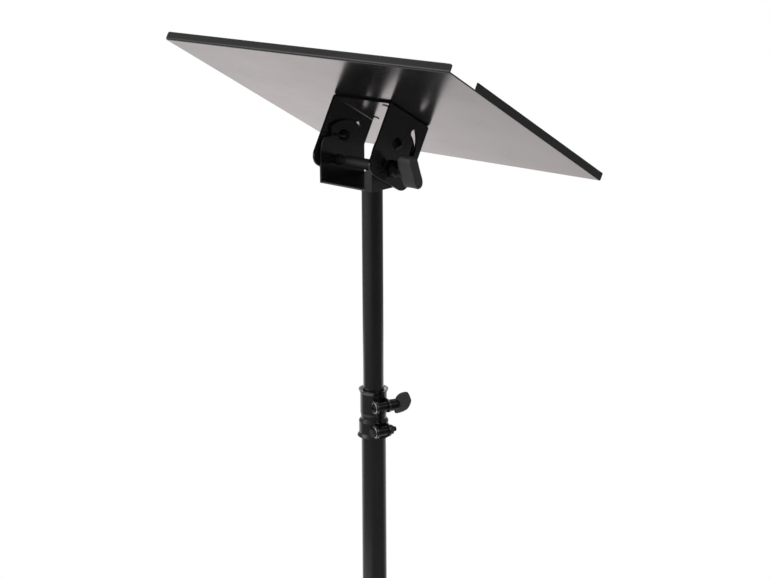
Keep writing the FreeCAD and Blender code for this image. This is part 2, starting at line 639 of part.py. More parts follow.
# Tripod, drawn in the plane of one leg with the leg towards +X
CROWN_Z = "(hub_z + 2 * link_length * cos(leg_angle))"
LEG_FLOOR = "(hub_z / cos(leg_angle) + 2 * link_length)"
LEG_END = "(hub_z / cos(leg_angle) + 2 * link_length - foot_sole)"
LUG_SIDE = "(tongue_half_width + side_gap + lug_wall)"
STRAP_IN = "(leg_radius + side_gap)"
STRAP_OUT = "(leg_radius + side_gap + strap_sheet)"


def on_leg(thing, start, across="0", side="0"):
    """Stand an object on the open leg's line, a distance from the crown pivot."""
    x = "pivot_radius + (%s) * sin(leg_angle) - (%s) * cos(leg_angle)" % (start, across)
    z = "%s - (%s) * cos(leg_angle) - (%s) * sin(leg_angle)" % (CROWN_Z, start, across)
    return move(thing, x, side, z, Y_AXIS, "180 - leg_angle")


def on_brace(thing, start, across="0", side="0"):
    """Stand an object on the open brace's line, a distance from the hub pivot."""
    x = "pivot_radius + (%s) * sin(leg_angle) + (%s) * cos(leg_angle)" % (start, across)
    z = "hub_z + (%s) * cos(leg_angle) - (%s) * sin(leg_angle)" % (start, across)
    return move(thing, x, side, z, Y_AXIS, "leg_angle")


def bar(radius, height):
    """Round bar to be placed by its caller."""
    return bind(doc.addObject("Part::Cylinder", "bar"), Radius=radius, Height=height)


def slab(length, width, height):
    """Block to be placed by its caller."""
    return bind(doc.addObject("Part::Box", "block"), Length=length, Width=width, Height=height)


def round_legs(build):
    """Make a piece three times, once towards each leg."""
    return [move(build(), turn=Z_AXIS, angle=angle) for angle in LEGS.values()]


def headed_pin(x, z, side):
    """Pin along Y with a flat head at each end, outside the given half width."""
    shank = cylinder("pin_radius", "2 * (%s)" % side, x, "-(%s)" % side, z, "Y")
    first = cylinder("pin_head", "pin_head_height", x, "-(%s) - pin_head_height" % side, z, "Y")
    last = cylinder("pin_head", "pin_head_height", x, side, z, "Y")
    return fuse(shank, first, last)


def build_crown():
    """Sliding crown with three pairs of lugs, its pins, stop ring and lock knob."""
    def clevis():
        body = box(("0", "pivot_radius"), ("-" + LUG_SIDE, LUG_SIDE),
                   (CROWN_Z + " - lug_radius", CROWN_Z + " + lug_radius"))
        end = cylinder("lug_radius", "2 * " + LUG_SIDE, "pivot_radius", "-" + LUG_SIDE, CROWN_Z, "Y")
        inside = "(tongue_half_width + side_gap)"
        gap = box(("crown_radius", "2 * pivot_radius"), ("-" + inside, inside),
                  (CROWN_Z + " - 2 * lug_radius", CROWN_Z + " + 2 * lug_radius"))
        pin = cylinder("pin_radius + fit_gap", "4 * " + LUG_SIDE, "pivot_radius", "-2 * " + LUG_SIDE,
                       CROWN_Z, "Y")
        return cut(fuse(body, end), gap, pin)
    sleeve = cylinder("crown_radius", "2 * crown_half", z=CROWN_Z + " - crown_half")
    bore = cylinder("lower_radius + fit_gap", "2 * crown_half", z=CROWN_Z + " - crown_half")
    thread = cylinder("thumb_radius + fit_gap", "crown_radius", z=CROWN_Z, along="X")
    spun = move(group(thread), turn=Z_AXIS, angle="crown_knob_turn")
    node("crown", cut(fuse(sleeve, *round_legs(clevis)), bore, spun))
    node("crown_pins", group(*round_legs(lambda: headed_pin("pivot_radius", CROWN_Z, LUG_SIDE))))
    node("stop_ring", tube("stop_radius", "lower_radius + fit_gap", "stop_height",
                           z=CROWN_Z + " - crown_half - stop_height"))
    shank = cylinder("thumb_radius", "crown_radius - lower_radius + paddle_half", "0",
                     "lower_radius + side_gap", "0", "Y")
    knob = thumb_knob()
    move(knob, y="crown_radius + rub_gap")
    screw = fuse(shank, knob)
    move(node("crown_knob", screw), z=CROWN_Z, turn=Z_AXIS * -1, angle="90 - crown_knob_turn")


def build_hub():
    """Fixed hub at the foot of the mast, with one lug and one pin per brace."""
    def lug():
        body = box(("0", "pivot_radius"), ("-leg_radius", "leg_radius"),
                   ("hub_z - hub_lug_radius", "hub_z + hub_lug_radius"))
        end = cylinder("hub_lug_radius", "2 * leg_radius", "pivot_radius", "-leg_radius", "hub_z", "Y")
        pin = cylinder("pin_radius + fit_gap", "4 * leg_radius", "pivot_radius", "-2 * leg_radius",
                       "hub_z", "Y")
        return cut(fuse(body, end), pin)
    sleeve = cylinder("hub_radius", "2 * hub_half", z="hub_z - hub_half")
    bore = cylinder("lower_radius + fit_gap", "2 * hub_half", z="hub_z - hub_half")
    node("hub", cut(fuse(sleeve, *round_legs(lug)), bore))
    side = STRAP_OUT + " + rub_gap"
    node("hub_pins", group(*round_legs(lambda: headed_pin("pivot_radius", "hub_z", side))))


def build_leg(number, angle):
    """One leg: tube, hinge tongue and rubber foot cut flat on the floor."""
    def towards(label, shape):
        move(node("%s_%d" % (label, number), shape), turn=Z_AXIS, angle=angle)
    length = LEG_END + " - leg_start"
    outer = on_leg(bar("leg_radius", length), "leg_start")
    inner = on_leg(bar("leg_radius - leg_wall", length), "leg_start")
    towards("leg_tube", cut(outer, inner))
    tongue = on_leg(slab("2 * tongue_half", "2 * tongue_half_width", "leg_start"), "0", "-tongue_half",
                    "-tongue_half_width")
    end = cylinder("tongue_half", "2 * tongue_half_width", "pivot_radius", "-tongue_half_width",
                   CROWN_Z, "Y")
    plug = on_leg(bar("leg_radius - leg_wall - fit_gap", "plug_length"), "leg_start")
    pin = cylinder("pin_radius + fit_gap", "4 * tongue_half_width", "pivot_radius",
                   "-2 * tongue_half_width", CROWN_Z, "Y")
    towards("leg_hinge", cut(fuse(tongue, end, plug), pin))
    rubber = on_leg(bar("leg_radius + foot_wall", "foot_bite + foot_sole + foot_extra"),
                    LEG_END + " - foot_bite")
    socket = on_leg(bar("leg_radius + fit_gap", "foot_bite"), LEG_END + " - foot_bite")
    reach = "4 * link_length"
    floor = box(("0", reach), ("-link_length", "link_length"), ("-link_length", "0"))
    towards("foot", cut(rubber, socket, floor))


def build_brace(number, angle):
    """One brace: a strap on each side of the leg, with its rivets."""
    straps = []
    rivets = []
    sides = ((STRAP_IN, STRAP_OUT), ("-" + STRAP_OUT, "-%s - pin_head_height" % STRAP_OUT))
    for near_side, outside in sides:
        strap = slab("2 * strap_half", "strap_sheet", "link_length")
        bars = [on_brace(strap, "0", "-strap_half", near_side)]
        holes = []
        for spot in ("0", "link_length"):
            x = "pivot_radius + %s * sin(leg_angle)" % spot
            z = "hub_z + %s * cos(leg_angle)" % spot
            bars.append(cylinder("strap_half", "strap_sheet", x, near_side, z, "Y"))
            holes.append(cylinder("pin_radius + fit_gap", "strap_sheet", x, near_side, z, "Y"))
        straps.append(cut(fuse(*bars), *holes))
        head = cylinder("pin_head", "pin_head_height", x, outside, z, "Y")
        shank = cylinder("pin_radius", "strap_sheet", x, near_side, z, "Y")
        rivets.append(fuse(head, shank))
    move(node("brace_%d" % number, group(*straps)), turn=Z_AXIS, angle=angle)
    move(node("brace_rivets_%d" % number, group(*rivets)), turn=Z_AXIS, angle=angle)


build_tray()
build_yoke()
build_tray_rivets()
build_cradle()
build_pivot()
build_lock()
build_tilt_knob()
build_mast()
build_sleeve()
build_clamp()
build_crown()
build_hub()
for number, angle in LEGS.items():
    build_leg(number, angle)
    build_brace(number, angle)
doc.recompute()

for thing in doc.Objects:
    faults = {"Invalid", "Error"} & set(thing.State)
    if faults:
        raise RuntimeError("%s is %s" % (thing.Label, faults))
for part in nodes:
    if part.Shape.isNull() or not part.Shape.isValid() or not part.Shape.Solids:
        raise RuntimeError("%s has no sound shape" % part.Label)

os.makedirs("parts", exist_ok=True)
for part in nodes:
    part.Shape.exportStep("parts/%s.step" % part.Label)
    print(part.Label, len(part.Shape.Solids), round(part.Shape.Volume))
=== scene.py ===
import json
import math

import bmesh
import bpy
from mathutils import Matrix, Vector


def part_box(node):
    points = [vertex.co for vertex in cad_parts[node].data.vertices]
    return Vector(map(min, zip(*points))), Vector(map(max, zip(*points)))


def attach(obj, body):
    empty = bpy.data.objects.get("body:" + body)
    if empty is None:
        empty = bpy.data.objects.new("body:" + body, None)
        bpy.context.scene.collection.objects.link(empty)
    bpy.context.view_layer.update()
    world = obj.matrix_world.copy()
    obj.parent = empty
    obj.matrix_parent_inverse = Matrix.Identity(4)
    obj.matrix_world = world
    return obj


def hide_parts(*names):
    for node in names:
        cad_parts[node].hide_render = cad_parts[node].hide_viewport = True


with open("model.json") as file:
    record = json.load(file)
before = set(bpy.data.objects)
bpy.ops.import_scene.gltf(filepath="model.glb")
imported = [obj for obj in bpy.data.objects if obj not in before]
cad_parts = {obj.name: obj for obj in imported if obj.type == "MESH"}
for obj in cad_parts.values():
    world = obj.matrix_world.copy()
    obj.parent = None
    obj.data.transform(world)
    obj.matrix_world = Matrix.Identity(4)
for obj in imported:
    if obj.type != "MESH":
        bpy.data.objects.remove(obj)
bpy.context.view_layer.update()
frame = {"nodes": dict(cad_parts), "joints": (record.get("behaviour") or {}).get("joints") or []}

bl_info = {
    "name": "Projector stand",
    "version": (1, 0, 0),
    "blender": (4, 5, 0),
    "location": "View3D > Sidebar > Stand",
    "description": "Finishes a projector stand: tilting tray, telescopic mast, folding tripod",
    "category": "Object",
}

MM = 0.001
LEG_NUMBERS = (1, 2, 3)
JOINTS = {joint["name"]: joint for joint in frame["joints"]}
ALONG_X = Vector((1, 0, 0))
UPRIGHT = Vector((0, 0, 1))
WHITE = (1, 1, 1, 1)

# Headings seen from above; the stand's front is -Y, and its tilt knob is on +X
FRONT_LEFT = (-0.5, -0.866, 0)
BACK_LEFT = (-0.707, 0.707, 0)
BACK_RIGHT = (0.342, 0.94, 0)

# Studio, in metres
FLOOR_RADIUS = 2.4
SWEEP_CAST = (1.04, 0.965, 0.97, 1)
ROOM_GLOW = 0.05
# Heading, cosine from which a bright wall shows, cosine at which it is full, level
BRIGHT_WALLS = (
    (FRONT_LEFT, 0.3, 0.9, 0.23),
    (BACK_LEFT, 0.6, 0.95, 0.3),
    (BACK_RIGHT, 0.4, 0.9, 0.07),
)
# Name, place, width, watts
SOFT_BOXES = (
    ("overhead", (-0.3, 0.2, 3.4), 3.0, 75),
    ("front", (-1.7, -2.8, 1.7), 2.2, 14),
    ("right", (2.8, 0.4, 2.6), 1.6, 10),
)
LAMP_TARGET = Vector((0, 0, 0.9))

# Camera, fitted to the photograph: degrees, metres, and a focal length in its pixels
VIEW_TURN, VIEW_PITCH, VIEW_ROLL = 42.23, 15.64, -0.25
CAMERA_BEARING = 42.68
CAMERA_DISTANCE, CAMERA_HEIGHT = 1.84154, 1.33517
FOCAL_PIXELS, FRAME_PIXELS = 1608.61, 770
SENSOR = 36
FAR_CLIP = 100

# The part at rest
REST_TILT = math.radians(29.5)
LEG_LEAN = math.radians(55)
FLARE_HEIGHT = 4.6 * MM
FOOT_FROM_HINGE = 383.64 * MM
# Least cosines of the faces that face the front on the yoke, which get painted shade, and upwards
# on the sleeve's rim, which get a painted highlight
EDGE_COSINE, RIM_COSINE = 0.97, 0.3

# Points round a ring
RING_SIDES, GRIP_SIDES, FOOT_SIDES = 48, 64, 40
WELD_RIPPLE = 0.1


def linear(code):
    """Linear colour from an sRGB hex code."""
    parts = [int(code[i:i + 2], 16) / 255 for i in (1, 3, 5)]
    return tuple(p / 12.92 if p <= 0.04045 else ((p + 0.055) / 1.055) ** 2.4 for p in parts)


def colour(code, label, words):
    """Colour setting with its default from an sRGB hex code."""
    return bpy.props.FloatVectorProperty(name=label, description=words, subtype="COLOR", size=3,
                                         min=0, max=1, default=linear(code))


def length(value, label, words):
    """Length setting with its default in millimetres."""
    return bpy.props.FloatProperty(name=label, description=words, default=value * MM,
                                   unit="LENGTH", precision=4)


class StandFinish(bpy.types.PropertyGroup):
    """Colours and grain of the stand's finishes."""
    coat: colour("#161617", "Powder coat", "Black coat on the sheet metal and tubes")
    moulding: colour("#38383a", "Moulded plastic", "Black plastic of the knobs, crown and hub")
    fastener: colour("#2b2b2d", "Blackened steel", "Bolts, nuts, washers and pins")
    # This colour also serves as a painted highlight on the sleeve's upward rim faces
    plating_and_painted_highlight: colour("#dededb", "Plated steel", "Rims of the clamp sleeve and its bolt heads")
    nylon: colour("#242425", "Nylon", "Lock spacer, friction discs, guides, glide and bush")
    rubber: colour("#181818", "Rubber", "Feet of the tripod")
    floor: colour("#ececea", "Floor", "Pale studio floor")
    coat_grain: length(2.6, "Coat ripple", "Width of one ripple in the powder coat")
    edge_break: length(1.1, "Edge break", "Softness of the coated edges")
    mould_grain: length(1.4, "Mould grain", "Width of the spark-eroded grain on the mouldings")


class StandSizes(bpy.types.PropertyGroup):
    """Sizes of the pieces that are shaped here."""
    grip_start: length(15, "Grip start", "Tilt knob from its flange's face to the grip")
    grip_end: length(35, "Grip end", "Tilt knob from its flange's face to the outer end")
    grip_long: length(20.5, "Grip half length", "Waisted grip of the tilt knob")
    grip_short: length(8.8, "Grip half thickness", "Waisted grip of the tilt knob")
    flange_radius: length(10, "Flange radius", "Flange of the tilt knob")
    neck_radius: length(7.6, "Neck radius", "Neck of the tilt knob")
    grip_turn: bpy.props.FloatProperty(
        name="Grip turn", description="Long axis of the grip, from upright",
        default=math.radians(20), subtype="ANGLE")
    paddle_radius: length(13.5, "Paddle radius", "Half-moon paddle of a thumb knob")
    stem_radius: length(7.2, "Stem radius", "Stem of a thumb knob")
    rim_width: length(1.5, "Rim width", "Bright rim round the head of a clamp bolt")
    foot_radius: length(13, "Foot radius", "Rubber foot round the leg")
    rib_depth: length(0.7, "Rib depth", "Grooves between the ribs of a foot")
    weld_width: length(2.6, "Weld width", "Weld bead under the cradle")


def finishes():
    """Finish settings of the scene."""
    return bpy.context.scene.stand_finish


def measures():
    """Size settings of the scene."""
    return bpy.context.scene.stand_sizes


def add_node(tree, kind, inputs=None, **options):
    """Add a node with its options, socket values and links."""
    made = tree.nodes.new(kind)
    for name, value in options.items():
        setattr(made, name, value)
    for socket, value in (inputs or {}).items():
        if isinstance(value, bpy.types.NodeSocket):
            tree.links.new(value, made.inputs[socket])
        else:
            made.inputs[socket].default_value = value
    return made


def new_material(name):
    """Material and its empty node tree, or no tree where the material is made already."""
    if name in bpy.data.materials:
        return bpy.data.materials[name], None
    material = bpy.data.materials.new(name)
    material.use_nodes = True
    material.node_tree.nodes.clear()
    return material, material.node_tree


def opaque(rgb, gain=1.0):
    """Colour made lighter or darker by a gain, with full alpha."""
    return (rgb[0] * gain, rgb[1] * gain, rgb[2] * gain, 1)


def powder_coat():
    """Semi-gloss black polyester powder coat, sprayed and baked on steel.

    The melt leaves a soft orange-peel ripple, so reflections are blurred but plain to see at a
    low angle.
    """
    finish = finishes()
    material, tree = new_material("powder_coated_steel")
    if tree is None:
        return material
    place = add_node(tree, "ShaderNodeTexCoord").outputs["Object"]
    # Real ripple is near 1 mm wide, drawn coarser here so that it shows
    ripple = add_node(tree, "ShaderNodeTexNoise", {
        "Vector": place, "Scale": 1 / finish.coat_grain, "Detail": 2.0})
    # The spray is thicker in clouds of some 70 mm
    cloud = add_node(tree, "ShaderNodeTexNoise", {
        "Vector": place, "Scale": 1 / (70 * MM), "Detail": 3.0})
    gloss = add_node(tree, "ShaderNodeMapRange", {
        "Value": cloud.outputs["Fac"], "From Min": 0.3, "From Max": 0.7,
        "To Min": 0.2, "To Max": 0.28})
    tint = add_node(tree, "ShaderNodeMix", {
        "Factor": cloud.outputs["Fac"], 6: opaque(finish.coat), 7: opaque(finish.coat, 1.35)},
        data_type="RGBA")
    # Sheet edges are broken and bends are soft, so an edge catches a line of light
    soft = add_node(tree, "ShaderNodeBevel", {"Radius": finish.edge_break}, samples=6)
    bump = add_node(tree, "ShaderNodeBump", {
        "Height": ripple.outputs["Fac"], "Strength": 0.05, "Distance": 0.06 * MM,
        "Normal": soft.outputs["Normal"]})
    shader = add_node(tree, "ShaderNodeBsdfPrincipled", {
        "Base Color": tint.outputs[2], "Roughness": gloss.outputs["Result"],
        "Normal": bump.outputs["Normal"], "IOR": 1.5, "Coat Weight": 1.0, "Coat Roughness": 0.2,
        "Coat IOR": 1.5, "Coat Normal": bump.outputs["Normal"]})
    add_node(tree, "ShaderNodeOutputMaterial", {"Surface": shader.outputs["BSDF"]})
    return material


def painted_shade_edge():
    """Painted shade on the yoke's front-facing edges, just under the tray.

    A dull, nearly black finish stands in for the shade that the tray casts and mirrors onto them.
    """
    coat = finishes().coat
    material, tree = new_material("painted_shade_yoke_edge")
    if tree is None:
        return material
    place = add_node(tree, "ShaderNodeTexCoord").outputs["Object"]
    # Random speckle in the painted shade, near 1 mm wide
    shade_speckle = add_node(tree, "ShaderNodeTexNoise", {
        "Vector": place, "Scale": 1 / (1 * MM), "Detail": 3.0})
    gloss = add_node(tree, "ShaderNodeMapRange", {
        "Value": shade_speckle.outputs["Fac"], "To Min": 0.65, "To Max": 0.85})
    # The painted shade: the coat's colour darkened to between 0.15 and 0.4 of itself
    tint = add_node(tree, "ShaderNodeMix", {
        "Factor": shade_speckle.outputs["Fac"], 6: opaque(coat, 0.15), 7: opaque(coat, 0.4)},
        data_type="RGBA")
    shader = add_node(tree, "ShaderNodeBsdfPrincipled", {
        "Base Color": tint.outputs[2], "Roughness": gloss.outputs["Result"], "IOR": 1.5,
        "Specular IOR Level": 0.08})
    add_node(tree, "ShaderNodeOutputMaterial", {"Surface": shader.outputs["BSDF"]})
    return material


def moulded_plastic():
    """Glass-filled polyamide, injection moulded with a fine spark-eroded grain.

    The grain breaks up highlights, so the faces look satin and a little paler than the coat.
    """
    finish = finishes()
    material, tree = new_material("moulded_polyamide")
    if tree is None:
        return material
    place = add_node(tree, "ShaderNodeTexCoord").outputs["Object"]
    # Real grain is near 0.1 mm wide, drawn coarser here so that it shows
    grain = add_node(tree, "ShaderNodeTexNoise", {
        "Vector": place, "Scale": 1 / finish.mould_grain, "Detail": 4.0, "Roughness": 0.65})
    # Flow marks are some 18 mm apart
    flow = add_node(tree, "ShaderNodeTexNoise", {
        "Vector": place, "Scale": 1 / (18 * MM), "Detail": 2.0})
    gloss = add_node(tree, "ShaderNodeMapRange", {
        "Value": flow.outputs["Fac"], "From Min": 0.3, "From Max": 0.7,
        "To Min": 0.38, "To Max": 0.5})
    tint = add_node(tree, "ShaderNodeMix", {
        "Factor": grain.outputs["Fac"], 6: opaque(finish.moulding, 0.8),
        7: opaque(finish.moulding, 1.3)}, data_type="RGBA")
    bump = add_node(tree, "ShaderNodeBump", {
        "Height": grain.outputs["Fac"], "Strength": 0.2, "Distance": 0.08 * MM})
    shader = add_node(tree, "ShaderNodeBsdfPrincipled", {
        "Base Color": tint.outputs[2], "Roughness": gloss.outputs["Result"],
        "Normal": bump.outputs["Normal"], "IOR": 1.53})
    add_node(tree, "ShaderNodeOutputMaterial", {"Surface": shader.outputs["BSDF"]})
    return material


def blackened_steel():
    """Cold-headed steel with a black oxide skin, lightly oiled.

    A dark metal with rubbed, brighter patches.
    """
    finish = finishes()
    material, tree = new_material("black_oxide_steel")
    if tree is None:
        return material
    place = add_node(tree, "ShaderNodeTexCoord").outputs["Object"]
    # Patches are near 4 mm wide
    patch = add_node(tree, "ShaderNodeTexNoise", {
        "Vector": place, "Scale": 1 / (4 * MM), "Detail": 4.0})
    gloss = add_node(tree, "ShaderNodeMapRange", {
        "Value": patch.outputs["Fac"], "From Min": 0.3, "From Max": 0.7,
        "To Min": 0.28, "To Max": 0.44})
    tint = add_node(tree, "ShaderNodeMix", {
        "Factor": patch.outputs["Fac"], 6: opaque(finish.fastener, 0.7),
        7: opaque(finish.fastener, 1.8)}, data_type="RGBA")
    bump = add_node(tree, "ShaderNodeBump", {
        "Height": patch.outputs["Fac"], "Strength": 0.1, "Distance": 0.05 * MM})
    shader = add_node(tree, "ShaderNodeBsdfPrincipled", {
        "Base Color": tint.outputs[2], "Roughness": gloss.outputs["Result"],
        "Normal": bump.outputs["Normal"], "Metallic": 0.9})
    add_node(tree, "ShaderNodeOutputMaterial", {"Surface": shader.outputs["BSDF"]})
    return material


def plated_steel_and_painted_highlight(name, smoothest, roughest):
    """Plated steel, pressed and rubbed: a bright metal with a soft, slightly patchy shine. On the
    sleeve's upward rim faces it is a painted highlight.
    """
    plating_and_painted_highlight = finishes().plating_and_painted_highlight
    material, tree = new_material(name)
    if tree is None:
        return material
    place = add_node(tree, "ShaderNodeTexCoord").outputs["Object"]
    # Worn spots on the bolt rims, and patches in the sleeve rim's painted highlight, are near 2 mm
    # wide
    wear_and_highlight_patch = add_node(tree, "ShaderNodeTexNoise", {
        "Vector": place, "Scale": 1 / (2 * MM), "Detail": 4.0})
    gloss = add_node(tree, "ShaderNodeMapRange", {
        "Value": wear_and_highlight_patch.outputs["Fac"], "From Min": 0.3, "From Max": 0.7,
        "To Min": smoothest, "To Max": roughest})
    tint = add_node(tree, "ShaderNodeMix", {
        "Factor": wear_and_highlight_patch.outputs["Fac"], 6: opaque(plating_and_painted_highlight, 0.8), 7: opaque(plating_and_painted_highlight)},
        data_type="RGBA")
    shader = add_node(tree, "ShaderNodeBsdfPrincipled", {
        "Base Color": tint.outputs[2], "Roughness": gloss.outputs["Result"], "Metallic": 1.0})
    add_node(tree, "ShaderNodeOutputMaterial", {"Surface": shader.outputs["BSDF"]})
    return material


def black_nylon():
    """Turned black nylon: dull and waxy, with a slightly uneven tone."""
    finish = finishes()
    material, tree = new_material("turned_nylon")
    if tree is None:
        return material
    place = add_node(tree, "ShaderNodeTexCoord").outputs["Object"]
    # Waxy spots are near 3 mm wide
    wax = add_node(tree, "ShaderNodeTexNoise", {
        "Vector": place, "Scale": 1 / (3 * MM), "Detail": 3.0})
    tint = add_node(tree, "ShaderNodeMix", {
        "Factor": wax.outputs["Fac"], 6: opaque(finish.nylon, 0.85),
        7: opaque(finish.nylon, 1.2)}, data_type="RGBA")
    gloss = add_node(tree, "ShaderNodeMapRange", {
        "Value": wax.outputs["Fac"], "To Min": 0.45, "To Max": 0.6})
    shader = add_node(tree, "ShaderNodeBsdfPrincipled", {
        "Base Color": tint.outputs[2], "Roughness": gloss.outputs["Result"], "IOR": 1.53})
    add_node(tree, "ShaderNodeOutputMaterial", {"Surface": shader.outputs["BSDF"]})
    return material


def foot_rubber():
    """Moulded black rubber: matte, with a dusty bloom in places."""
    finish = finishes()
    material, tree = new_material("moulded_rubber")
    if tree is None:
        return material
    place = add_node(tree, "ShaderNodeTexCoord").outputs["Object"]
    # Bloom lies in spots of some 12 mm, and the pores are near 1.2 mm
    bloom = add_node(tree, "ShaderNodeTexNoise", {
        "Vector": place, "Scale": 1 / (12 * MM), "Detail": 5.0})
    pores = add_node(tree, "ShaderNodeTexNoise", {
        "Vector": place, "Scale": 1 / (1.2 * MM), "Detail": 2.0})
    tint = add_node(tree, "ShaderNodeMix", {
        "Factor": bloom.outputs["Fac"], 6: opaque(finish.rubber, 0.8),
        7: opaque(finish.rubber, 1.9)}, data_type="RGBA")
    gloss = add_node(tree, "ShaderNodeMapRange", {
        "Value": bloom.outputs["Fac"], "To Min": 0.62, "To Max": 0.85})
    bump = add_node(tree, "ShaderNodeBump", {
        "Height": pores.outputs["Fac"], "Strength": 0.25, "Distance": 0.1 * MM})
    shader = add_node(tree, "ShaderNodeBsdfPrincipled", {
        "Base Color": tint.outputs[2], "Roughness": gloss.outputs["Result"],
        "Normal": bump.outputs["Normal"], "IOR": 1.52})
    add_node(tree, "ShaderNodeOutputMaterial", {"Surface": shader.outputs["BSDF"]})
    return material


def dress(material, *names):
    """Give CAD nodes a finish."""
    for name in names:
        mesh = frame["nodes"][name].data
        mesh.materials.clear()
        mesh.materials.append(material)


def dress_faces(name, material, chosen):
    """Give a second finish to the faces of a CAD node that a test picks by centre and normal."""
    node = frame["nodes"][name]
    node.data.materials.append(material)
    turn = node.matrix_world.to_3x3()
    for face in node.data.polygons:
        if chosen(node.matrix_world @ face.center, turn @ face.normal):
            face.material_index = 1


def add_piece(name, skin, material):
    """Turn a finished bmesh into an object of the scene."""
    mesh = bpy.data.meshes.new(name)
    skin.to_mesh(mesh)
    skin.free()
    mesh.materials.append(material)
    piece = bpy.data.objects.new(name, mesh)
    bpy.context.scene.collection.objects.link(piece)
    return piece


def keep(piece, body, node=None):
    """Put a piece on a body, in place of a CAD node where one is named."""
    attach(piece, body)
    if node:
        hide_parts(node)


def loft(name, rings, material, level=0):
    """Closed smooth skin through rings of points, with its ends capped."""
    skin = bmesh.new()
    loops = [[skin.verts.new(point) for point in ring] for ring in rings]
    count = len(loops[0])
    for first, second in zip(loops, loops[1:]):
        for i in range(count):
            j = (i + 1) % count
            skin.faces.new((first[i], first[j], second[j], second[i]))
    skin.faces.new(list(reversed(loops[0])))
    skin.faces.new(loops[-1])
    bmesh.ops.recalc_face_normals(skin, faces=skin.faces)
    for face in skin.faces:
        face.smooth = True
    piece = add_piece(name, skin, material)
    if level:
        smooth = piece.modifiers.new("smooth", "SUBSURF")
        smooth.levels = level
        smooth.render_levels = level
    return piece


def oval(centre, side, up, half_side, half_up, power, count=RING_SIDES, waist=0.0):
    """Ring on a superellipse: a power of 2 is round, more is squarer; a waist pinches it."""
    ring = []
    for i in range(count):
        a = 2 * math.pi * i / count
        c, s = math.cos(a), math.sin(a)
        x = math.copysign(abs(c) ** (2 / power), c) * half_side
        z = math.copysign(abs(s) ** (2 / power), s) * half_up
        x *= 1 - waist * (1 - (z / half_up) ** 2) ** 2
        ring.append(centre + side * x + up * z)
    return ring


def turned(start, axis, side, up, profile, count=RING_SIDES):
    """Round rings along an axis, from a profile of distances and radii in millimetres."""
    return [oval(start + axis * (s * MM), side, up, r * MM, r * MM, 2.0, count)
            for s, r in profile]


def hoop(name, centre, axis, radius, half, material, ripple=0.0):
    """Closed round ring about an axis; a ripple swells it in even steps, as in a weld."""
    steps, sides, ripple_steps = 180, 10, 7.5
    side = axis.orthogonal().normalized()
    other = axis.cross(side)
    skin = bmesh.new()
    loops = []
    for i in range(steps):
        a = 2 * math.pi * i / steps
        thick = half * (1 - ripple + ripple * math.cos(2 * math.pi * i / ripple_steps))
        out = side * math.cos(a) + other * math.sin(a)
        loop = []
        for j in range(sides):
            b = 2 * math.pi * j / sides
            point = centre + out * (radius + thick * math.cos(b)) + axis * (thick * math.sin(b))
            loop.append(skin.verts.new(point))
        loops.append(loop)
    for first, second in zip(loops, loops[1:] + loops[:1]):
        for j in range(sides):
            k = (j + 1) % sides
            skin.faces.new((first[j], second[j], second[k], first[k])).smooth = True
    bmesh.ops.recalc_face_normals(skin, faces=skin.faces)
    return add_piece(name, skin, material)


